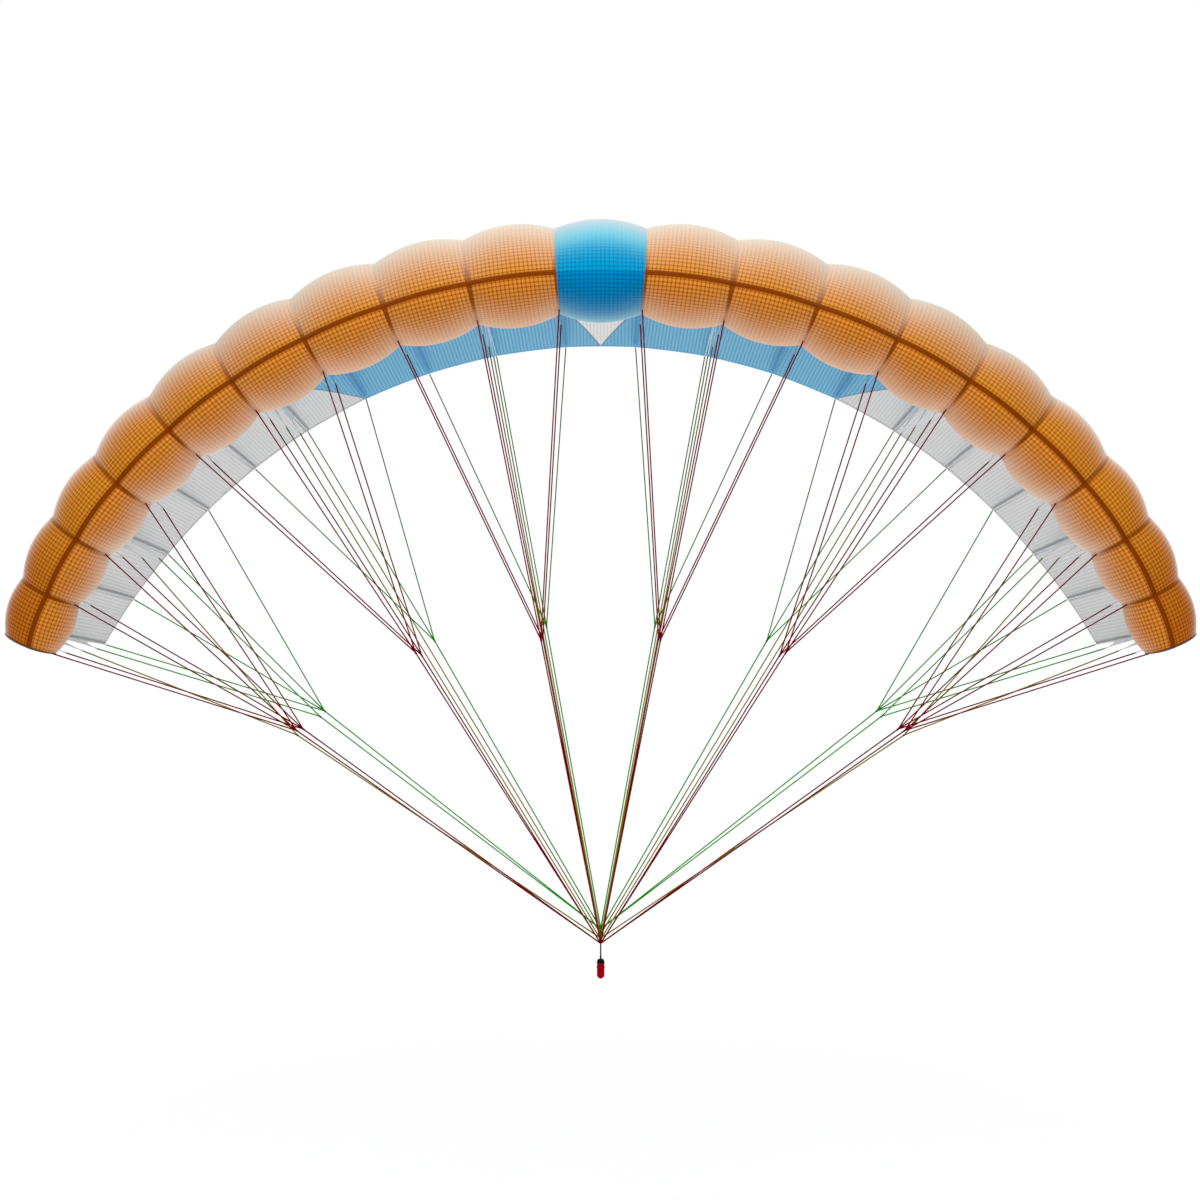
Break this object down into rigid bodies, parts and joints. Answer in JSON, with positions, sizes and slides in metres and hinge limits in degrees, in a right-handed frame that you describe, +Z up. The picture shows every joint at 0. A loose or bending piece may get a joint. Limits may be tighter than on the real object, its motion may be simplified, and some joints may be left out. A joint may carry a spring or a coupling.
{
  "type": "parawing with its hand bar",
  "caption": "Single-skin parawing: an arched canopy of billowed cells on toothed ribs, flying lines gathered on two leaders, and a short hand-held bar.",
  "frame": {"origin": "middle of the bar, on its axis", "axes": "+X along the span to the right as seen from in front of the nose, +Y along the chord to the trailing edge, +Z up"},
  "size_m": [3.7886, 1.2832, 2.4309],
  "materials": {
    "orange_cloth": "ripstop nylon, woven grid, soft sheen",
    "blue_cloth": "ripstop nylon, woven grid, soft sheen",
    "grey_cloth": "pale ripstop nylon, lets some light through",
    "rib_cloth": "firm pale rib cloth",
    "red_line": "sheathed flying line, dark red",
    "olive_line": "sheathed flying line, olive",
    "green_line": "sheathed flying line, green",
    "leader_cord": "thick braided cord, dark grey",
    "red_foam": "closed-cell foam grip, matt",
    "black_rod": "black tube, satin"
  },
  "bodies": {
    "root": {"top_panel_centre": "blue_cloth", "top_panel_left_1": "blue_cloth", "top_panel_left_2": "blue_cloth", "top_panel_left_3": "blue_cloth", "top_panel_left_4": "grey_cloth", "top_panel_left_5": "grey_cloth", "top_panel_left_6": "grey_cloth", "top_panel_left_7": "grey_cloth", "top_panel_left_8": "grey_cloth", "top_panel_left_9": "grey_cloth", "top_panel_right_1": "blue_cloth", "top_panel_right_2": "blue_cloth", "top_panel_right_3": "blue_cloth", "top_panel_right_4": "grey_cloth", "top_panel_right_5": "grey_cloth", "top_panel_right_6": "grey_cloth", "top_panel_right_7": "grey_cloth", "top_panel_right_8": "grey_cloth", "top_panel_right_9": "grey_cloth", "nose_panel_centre": "blue_cloth", "nose_panel_left_3_to_1": "orange_cloth", "nose_panel_left_6_to_4": "orange_cloth", "nose_panel_left_9_to_7": "orange_cloth", "nose_panel_right_1_to_3": "orange_cloth", "nose_panel_right_4_to_6": "orange_cloth", "nose_panel_right_7_to_9": "orange_cloth", "rib_left_1": "rib_cloth", "rib_left_2": "rib_cloth", "rib_left_3": "rib_cloth", "rib_left_4": "rib_cloth", "rib_left_5": "rib_cloth", "rib_left_6": "rib_cloth", "rib_left_7": "rib_cloth", "rib_left_8": "rib_cloth", "rib_left_9": "rib_cloth", "rib_left_10": "rib_cloth", "rib_right_1": "rib_cloth", "rib_right_2": "rib_cloth", "rib_right_3": "rib_cloth", "rib_right_4": "rib_cloth", "rib_right_5": "rib_cloth", "rib_right_6": "rib_cloth", "rib_right_7": "rib_cloth", "rib_right_8": "rib_cloth", "rib_right_9": "rib_cloth", "rib_right_10": "rib_cloth", "lines_front": "red_line", "lines_mid": "olive_line", "lines_rear": "green_line", "leader_front": "leader_cord", "leader_rear": "leader_cord", "bar_grip": "red_foam", "bar_rod": "black_rod"}
  },
  "joints": []
}
